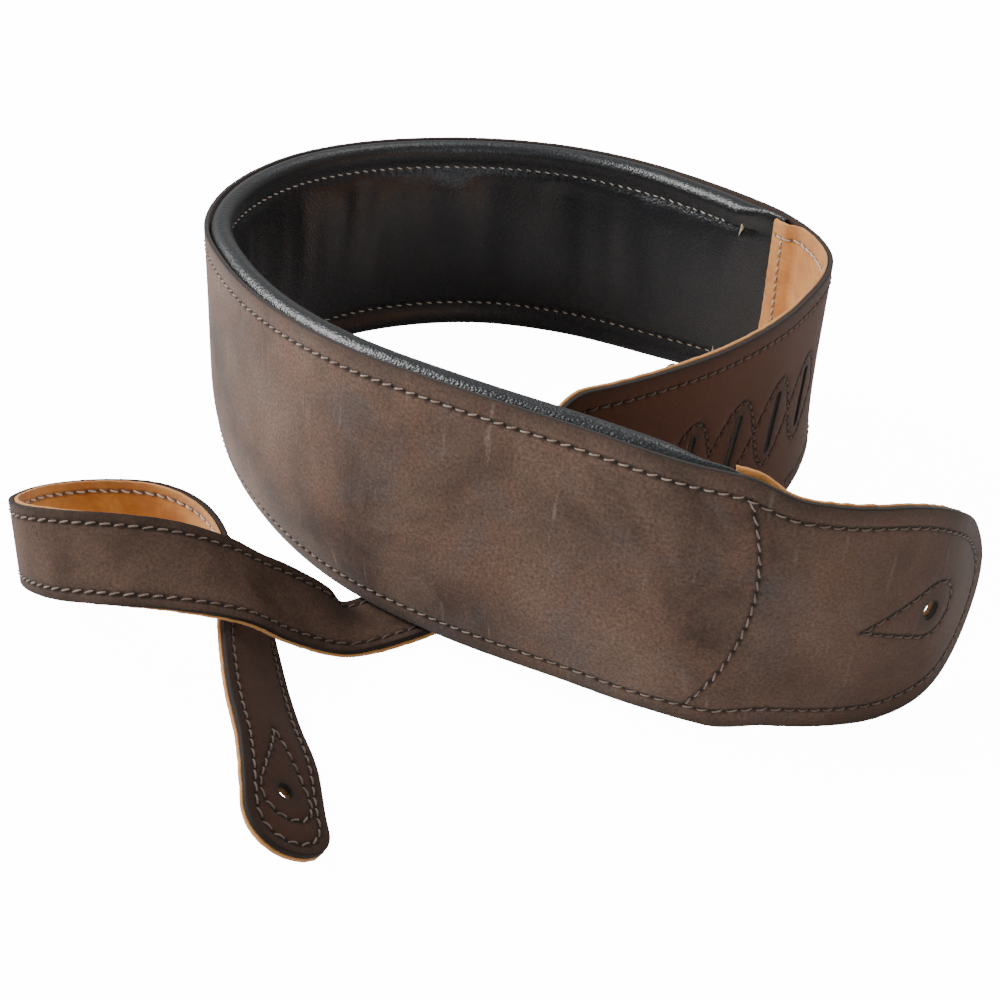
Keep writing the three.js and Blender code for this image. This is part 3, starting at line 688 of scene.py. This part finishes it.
def brown_leather():
    look = Look("brown_nubuck", Sheen_Weight=0.12, Sheen_Roughness=0.5, Specular_IOR_Level=0.24)
    broad = look.noise(17, 5, 0.6, distortion=0.4)
    patch = look.noise(43, 5, 0.62, stretch=(1, 0.8, 1), turn=0.4, distortion=0.6)
    nap = look.noise(820, 6, 0.75)
    color = look.mix(look.span(broad, 0.36, 0.66), (0.056, 0.029, 0.018), (0.165, 0.1, 0.069))
    color = look.mix(look.span(patch, 0.48, 0.68, 0, 0.6), color, (0.15, 0.074, 0.047))
    color = look.mix(look.span(look.noise(31, 4, 0.6, turn=1.1, distortion=0.5), 0.52, 0.72, 0, 0.55),
                     color, (0.085, 0.074, 0.07))
    streak = look.noise(210, 3, 0.5, stretch=(1, 0.14, 1), turn=0.7)
    color = look.mix(look.span(streak, 0.66, 0.76, 0, 0.3), color, (0.33, 0.26, 0.21))
    scuff = look.noise(95, 7, 0.8, stretch=(0.2, 1, 1), turn=-0.5)
    color = look.mix(look.span(scuff, 0.62, 0.78, 0, 0.35), color, (0.3, 0.235, 0.195))
    speck = look.span(nap, 0.36, 0.64, 0.62, 1.46)
    color = look.mix(1.0, color, look.add("ShaderNodeCombineColor", {0: speck, 1: speck, 2: speck}).outputs[0],
                     "MULTIPLY")
    for scale, turn in ((70, 0.7), (90, -0.5), (60, 2.2)):
        ridge = look.math("ABSOLUTE", look.math("SUBTRACT", look.noise(scale, 1, 0, stretch=(1, 0.07, 1), turn=turn), 0.5), 0)
        worn = look.span(look.noise(28, 3, 0.6, turn=turn), 0.6, 0.68, 0, 0.15)
        color = look.mix(look.math("MULTIPLY", look.span(ridge, 0.004, 0.014, 1, 0), worn), color, (0.3, 0.225, 0.18))
    along = look.add("ShaderNodeSeparateXYZ", {0: look.pattern}).outputs[0]
    # Darker towards the slotted end: partly the leather's own tone and partly painted shade, as that end lies inside
    # the loop away from the key light.
    color = look.mix(look.span(along, 0.74, 0.86, 0, 0.88), color, (0.092, 0.029, 0.0065))
    # Darker at the button-end tab: partly the leather's own tone and partly painted shade, as the tab faces away from
    # the key light.
    color = look.mix(look.span(along, 0.08, 0.13, 0.5, 0), color, (0.085, 0.038, 0.019))
    color = look.mix(look.math("MULTIPLY", look.weight("edge"), 0.95), color, (0.014, 0.0095, 0.0075))
    # Darker where the pit weight is: painted shade in the needle holes, a darker stitch groove between them and dark
    # rims at the openings.
    color = look.mix(look.math("MULTIPLY", look.weight("pit"), 0.95), color, (0.012, 0.008, 0.006))
    grain = look.bump(nap, 0.25 * MM, 0.55)
    soft = look.bump(scuff, 0.5 * MM, 0.3, grain)
    return look.finish(color, look.span(broad, 0.3, 0.7, 0.72, 0.86), soft)


def tail_leather_look():
    look = Look("tail_nubuck", Sheen_Weight=0.04, Sheen_Roughness=0.5, Specular_IOR_Level=0.2)
    broad = look.noise(30, 5, 0.6, distortion=0.5)
    patch = look.noise(80, 5, 0.65, distortion=0.4)
    nap = look.noise(820, 6, 0.75)
    color = look.mix(look.span(broad, 0.36, 0.66), (0.048, 0.0245, 0.0145), (0.108, 0.062, 0.042))
    color = look.mix(look.span(patch, 0.5, 0.7, 0, 0.5), color, (0.13, 0.072, 0.047))
    speck = look.span(nap, 0.36, 0.64, 0.66, 1.38)
    color = look.mix(1.0, color, look.add("ShaderNodeCombineColor", {0: speck, 1: speck, 2: speck}).outputs[0],
                     "MULTIPLY")
    along = look.add("ShaderNodeSeparateXYZ", {0: look.pattern}).outputs[0]
    color = look.mix(look.span(along, 0.3, 0.42, 0, 0.85), color, (0.04, 0.0125, 0.0042))
    color = look.mix(look.math("MULTIPLY", look.weight("edge"), 0.92), color, (0.012, 0.008, 0.006))
    # Darker where the pit weight is: painted shade in the needle holes, a darker stitch groove between them and dark
    # rims at the opening.
    color = look.mix(look.math("MULTIPLY", look.weight("pit"), 0.95), color, (0.01, 0.007, 0.005))
    return look.finish(color, look.span(broad, 0.3, 0.7, 0.66, 0.82), look.bump(nap, 0.25 * MM, 0.5))


def tan_leather():
    look = Look("tan_flesh_leather", Sheen_Weight=0.2, Sheen_Roughness=0.6, Specular_IOR_Level=0.25)
    broad = look.noise(38, 6, 0.62, distortion=0.6)
    fibre = look.noise(520, 8, 0.8, stretch=(0.5, 1, 1), turn=0.5)
    color = look.mix(look.span(broad, 0.35, 0.68), (0.62, 0.2, 0.022), (0.98, 0.43, 0.075))
    color = look.mix(look.span(fibre, 0.35, 0.72), look.mix(0.3, color, (0.25, 0.11, 0.04)), color)
    color = look.mix(look.math("MULTIPLY", look.weight("edge"), 0.55), color, (0.5, 0.24, 0.085))
    # Darker where the pit weight is: painted shade in the needle holes, a darker stitch groove between them and dark
    # rims at the openings.
    color = look.mix(look.math("MULTIPLY", look.weight("pit"), 0.9), color, (0.07, 0.028, 0.011))
    fuzz = look.bump(fibre, 0.7 * MM, 0.85)
    return look.finish(color, look.span(fibre, 0.3, 0.7, 0.8, 0.95), fuzz)


def black_leather():
    look = Look("black_grained_leather", Specular_IOR_Level=0.55, Sheen_Weight=0.05)
    cells = look.cells(950)
    fine = look.noise(2100, 3, 0.6)
    broad = look.noise(60, 3, 0.5)
    crease = look.noise(260, 5, 0.7, stretch=(1, 0.5, 1), distortion=0.8)
    # The leather is black; the slight blue in this near-black is a painted reflection tint, standing for the cool
    # front light's glow on the pad.
    color = look.mix(look.span(cells, 0.1, 0.7), (0.0035, 0.004, 0.005), (0.0105, 0.0115, 0.014))
    color = look.mix(look.span(broad, 0.4, 0.7, 0, 0.4), color, (0.006, 0.0062, 0.0068))
    pebbles = look.bump(cells, -0.24 * MM, 0.75)
    grain = look.bump(fine, 0.08 * MM, 0.5, pebbles)
    return look.finish(color, look.span(broad, 0.3, 0.7, 0.27, 0.38), look.bump(crease, 0.25 * MM, 0.4, grain))


def foam_look():
    look = Look("foam", Specular_IOR_Level=0.2)
    cells = look.cells(900)
    color = look.mix(look.span(cells, 0.1, 0.6), (0.35, 0.32, 0.24), (0.62, 0.58, 0.46))
    return look.finish(color, look.span(cells, 0, 1, 0.85, 0.98), look.bump(cells, 0.5 * MM, 0.8))


def floor_look():
    """A matte pale floor that the camera sees as nearly white."""
    look = Look("pale_floor", Roughness=0.9, Base_Color=(0.8, 0.8, 0.8, 1), Specular_IOR_Level=0.1,
                Emission_Color=(1, 1, 1, 1))
    seen = look.add("ShaderNodeLightPath").outputs["Is Camera Ray"]
    look.links.new(look.math("MULTIPLY", seen, 14.0), look.shader.inputs["Emission Strength"])
    return look.material


def thread_look(name, dark, light, dim=()):
    look = Look(name, Sheen_Weight=0.25, Specular_IOR_Level=0.4)
    fibre = look.noise(2600, 3, 0.6, stretch=(1, 1, 1), turn=0.8)
    change = look.noise(260, 2, 0.5)
    color = look.mix(look.span(change, 0.35, 0.65), dark, light)
    color = look.mix(look.span(fibre, 0.35, 0.65, 0, 0.35), color, tuple(0.45 * c for c in dark))
    along = look.add("ShaderNodeSeparateXYZ", {0: look.pattern}).outputs[0]
    for low, high in dim:
        color = look.mix(look.span(along, low, high, 0, 0.75), color, (0.09, 0.05, 0.032))
    return look.finish(color, look.span(fibre, 0, 1, 0.55, 0.75), look.bump(fibre, 0.2 * MM, 0.7))


BROWN, TAIL_BROWN, TAN, BLACK, FOAM = brown_leather(), tail_leather_look(), tan_leather(), black_leather(), foam_look()
PALE_THREAD = thread_look("beige_thread", (0.22, 0.145, 0.105), (0.46, 0.34, 0.265), dim=((0.15, 0.09), (0.74, 0.8)))
TAIL_THREAD = thread_look("tail_thread", (0.19, 0.12, 0.085), (0.4, 0.28, 0.21), dim=((0.18, 0.08), (0.28, 0.35)))
DARK_THREAD = thread_look("umber_thread", (0.075, 0.042, 0.028), (0.17, 0.105, 0.072))
WHITE_THREAD = thread_look("white_thread", (0.6, 0.56, 0.48), (0.86, 0.83, 0.77))

# ---- Points either side of the joints where the leather flexes between bodies; nothing here bends it ----
def bend_between(joint_name, direction, before, after):
    joint = next(j for j in frame["joints"] if j["name"] == joint_name)
    place = Vector(joint["pos_m"])
    heading = Vector(direction).normalized()
    return tuple(place - heading * before), tuple(place + heading * after)


BUTTON_BEND = bend_between("button_end_flex", (1, -0.5, 0), 0.014, 0.014)
TAIL_BEND = bend_between("tail_end_flex", (0.25, -1, 0), 0.006, 0.008)


def belongs(piece, nodes, body="band", bend=None):
    if bend:
        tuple(bend[0])
        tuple(bend[1])
        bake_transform(piece)
    else:
        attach(piece, body)
    if nodes:
        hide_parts(*nodes)
    return piece


def lining_outline(outline, keep, border):
    """The part of an outline that a lining covers, closed along its own cut edge."""
    chosen = opened(outline[keep(outline)])
    return resample(np.vstack([chosen, border(chosen[-1], chosen[0])]), 2 * MM, closed=True)


def cut_edge(at, shift):
    def border(first, last):
        w = np.linspace(first[1], last[1], 50)[1:-1]
        return np.stack([at + shift(w), w], 1)
    return border


def build_band():
    skin = leather("band_leather_skin", band, BAND_OUTLINE, [BUTTON_OPENING, *SLOTS],
                   [(BAND_EDGE, True), (FRONT_SEAM, False), (REAR_SEAM, False), (BUTTON_DROP, True),
                    (CHAIN[0], False), (CHAIN[1], False)], brown_face, brown_back, 1, BROWN, fray=0.15 * MM)
    belongs(skin, ["band_outer_leather", "button_end_leather"], "button_end", BUTTON_BEND)

    front_cut = 0.1245
    outline = lining_outline(BAND_OUTLINE, lambda p: p[:, 0] < front_cut + front_shift(p[:, 1]),
                             cut_edge(front_cut, front_shift))
    edge_seam = opened(BAND_EDGE[BAND_EDGE[:, 0] < front_cut + front_shift(BAND_EDGE[:, 1]) - 2 * MM])
    front = leather("button_end_lining_skin", band, outline, [BUTTON_OPENING],
                    [(edge_seam, False), (FRONT_SEAM, False), (BUTTON_DROP, True)],
                    lining_face, lining_back, -1, TAN, radius=0.35 * MM, fray=0.5 * MM)
    belongs(front, ["button_end_lining", "pad_front_lining"], "button_end", BUTTON_BEND)

    rear_cut = 0.785
    outline = lining_outline(BAND_OUTLINE, lambda p: p[:, 0] > rear_cut + rear_shift(p[:, 1]),
                             cut_edge(rear_cut, rear_shift))
    slotted_seam = opened(BAND_EDGE[BAND_EDGE[:, 0] > rear_cut + rear_shift(BAND_EDGE[:, 1]) + 2 * MM])
    rear = leather("slotted_end_lining_skin", band, outline, SLOTS,
                   [(slotted_seam, False), (REAR_SEAM, False), (CHAIN[0], False), (CHAIN[1], False)],
                   lining_face, lining_back, -1, TAN, radius=0.35 * MM, fray=0.5 * MM)
    belongs(rear, ["slotted_end_lining"])

    cover = pad_piece("pad_cover_skin", PAD_START, PAD_END, STITCH / 3, 0, COVER, 45, BLACK)
    belongs(cover, ["pad_cover"])
    foam = pad_piece("pad_foam_core", 0.15, 0.762, 4 * MM, COVER + 1.2 * MM, 0, 23, FOAM)
    belongs(foam, ["pad_foam"])

    edge = stitches("band_edge_stitches", band, [(BAND_EDGE, True)], brown_face, 1, PALE_THREAD)
    belongs(edge, ["band_edge_thread_outer", "button_edge_thread_outer"], "button_end", BUTTON_BEND)
    seam = stitches("front_seam_stitches", band, [(FRONT_SEAM, False)], brown_face, 1, PALE_THREAD)
    belongs(seam, ["front_seam_thread_outer"], "button_end", BUTTON_BEND)
    seam = stitches("rear_seam_stitches", band, [(REAR_SEAM, False)], brown_face, 1, PALE_THREAD)
    belongs(seam, ["rear_seam_thread_outer"])
    seam = stitches("slot_chain_stitches", band, [(c, False) for c in CHAIN], brown_face, 1, DARK_THREAD)
    belongs(seam, ["slot_chain_thread_outer"])
    seam = stitches("button_teardrop_stitches", band, [(BUTTON_DROP, True)], brown_face, 1, DARK_THREAD)
    belongs(seam, ["button_teardrop_thread_outer"], "button_end", BUTTON_BEND)

    seam = stitches("button_edge_stitches_inner", band, [(edge_seam, False)], lining_back, -1, WHITE_THREAD)
    belongs(seam, ["button_edge_thread_inner"], "button_end", BUTTON_BEND)
    seam = stitches("button_teardrop_stitches_inner", band, [(BUTTON_DROP, True)], lining_back, -1, WHITE_THREAD)
    belongs(seam, ["button_teardrop_thread_inner"], "button_end", BUTTON_BEND)
    seam = stitches("front_seam_stitches_inner", band, [(FRONT_SEAM, False)], lining_back, -1, WHITE_THREAD)
    belongs(seam, ["front_seam_thread_inner"], "button_end", BUTTON_BEND)
    seam = stitches("rear_seam_stitches_inner", band, [(REAR_SEAM, False)], lining_back, -1, WHITE_THREAD)
    belongs(seam, ["rear_seam_thread_inner"])
    seam = stitches("slotted_end_stitches_inner", band, [(slotted_seam, False)], lining_back, -1, WHITE_THREAD)
    belongs(seam, ["slotted_lining_thread"])
    seam = stitches("slot_chain_stitches_inner", band, [(c, False) for c in CHAIN], lining_back, -1, WHITE_THREAD)
    belongs(seam, ["slot_chain_thread_inner"])
    for label, side in (("top", 1), ("bottom", -1)):
        s = np.linspace(0.1475, 0.7655, 200)
        path = np.stack([s, side * VALLEY_AT + 0 * s], 1)
        seam = stitches("pad_seam_stitches_" + label, band, [(path, False)], valley_height, -1, WHITE_THREAD)
        belongs(seam, ["pad_seam_thread_" + label])


def build_tail():
    skin = leather("tail_leather_skin", tail, TAIL_OUTLINE, [TAIL_OPENING], [(TAIL_EDGE, False), (TAIL_DROP, True)],
                   brown_face, brown_back, 1, TAIL_BROWN, fray=0.12 * MM)
    belongs(skin, ["tail_outer_leather", "tail_end_leather"], "tail_end", TAIL_BEND)
    outline = lining_outline(TAIL_OUTLINE, lambda p: p[:, 0] > TAIL_LINING_START,
                             cut_edge(TAIL_LINING_START, lambda w: 0 * w))
    lining = leather("tail_lining_skin", tail, outline, [TAIL_OPENING], [(TAIL_EDGE, False), (TAIL_DROP, True)],
                     tail_lining_face, tail_lining_back, -1, TAN, radius=0.35 * MM, fray=0.35 * MM)
    belongs(lining, ["tail_lining", "tail_end_lining"], "tail_end", TAIL_BEND)
    sides = [(TAIL_EDGE, False)]
    seam = stitches("tail_edge_stitches", tail, sides, brown_face, 1, TAIL_THREAD)
    belongs(seam, ["tail_upper_thread_outer", "tail_lower_thread_outer", "tail_end_thread_outer"],
            "tail_end", TAIL_BEND)
    seam = stitches("tail_edge_stitches_inner", tail, sides, tail_lining_back, -1, WHITE_THREAD)
    belongs(seam, ["tail_upper_thread_inner", "tail_lower_thread_inner", "tail_end_thread_inner"],
            "tail_end", TAIL_BEND)
    seam = stitches("tail_teardrop_stitches", tail, [(TAIL_DROP, True)], brown_face, 1, DARK_THREAD)
    belongs(seam, ["tail_teardrop_thread_outer"], "tail_end", TAIL_BEND)
    seam = stitches("tail_teardrop_stitches_inner", tail, [(TAIL_DROP, True)], tail_lining_back, -1, WHITE_THREAD)
    belongs(seam, ["tail_teardrop_thread_inner"], "tail_end", TAIL_BEND)


# ---- Scene ----
def area_light(name, place, size, power, target=(0, 0, 0.05), color=(1, 1, 1)):
    light = bpy.data.lights.new(name, "AREA")
    light.shape, light.size, light.size_y = "RECTANGLE", size[0], size[1]
    light.energy, light.color = power, color
    lamp = bpy.data.objects.new(name, light)
    lamp.location = place
    lamp.rotation_euler = (Vector(target) - Vector(place)).to_track_quat("-Z", "Y").to_euler()
    bpy.context.scene.collection.objects.link(lamp)


def build_scene():
    mesh = bpy.data.meshes.new("floor")
    mesh.from_pydata([(-4, -3, 0), (4, -3, 0), (4, 5, 0), (-4, 5, 0)], [], [(0, 1, 2, 3)])
    floor = bpy.data.objects.new("floor", mesh)
    bpy.context.scene.collection.objects.link(floor)
    mesh.materials.append(floor_look())
    world = bpy.data.worlds.new("studio")
    bpy.context.scene.world = world
    world.use_nodes = True
    world.node_tree.nodes["Background"].inputs[0].default_value = (1, 1, 1, 1)
    world.node_tree.nodes["Background"].inputs[1].default_value = 0.36
    area_light("window", (-1.25, 0.3, 0.95), (0.9, 0.9), 39)
    area_light("overhead", (0.4, 0.5, 1.3), (0.8, 0.8), 7)
    area_light("front", (0.3, -1.7, 0.45), (0.7, 1.1), 9, color=(0.8, 0.9, 1))
    data = bpy.data.cameras.new("camera")
    data.lens, data.sensor_width = 64.66, 36
    camera = bpy.data.objects.new("camera", data)
    right, up, ahead = Vector((0.9989, 0.0237, 0.0407)), Vector((-0.0471, 0.5025, 0.8633)), Vector((0, 0.8643, -0.503))
    turn = Matrix((right, up, -ahead)).transposed().to_quaternion().normalized()
    camera.matrix_world = Matrix.Translation((0.0019, -0.6216, 0.3771)) @ turn.to_matrix().to_4x4()
    bpy.context.scene.collection.objects.link(camera)
    bpy.context.scene.camera = camera


build_scene()
build_band()
build_tail()
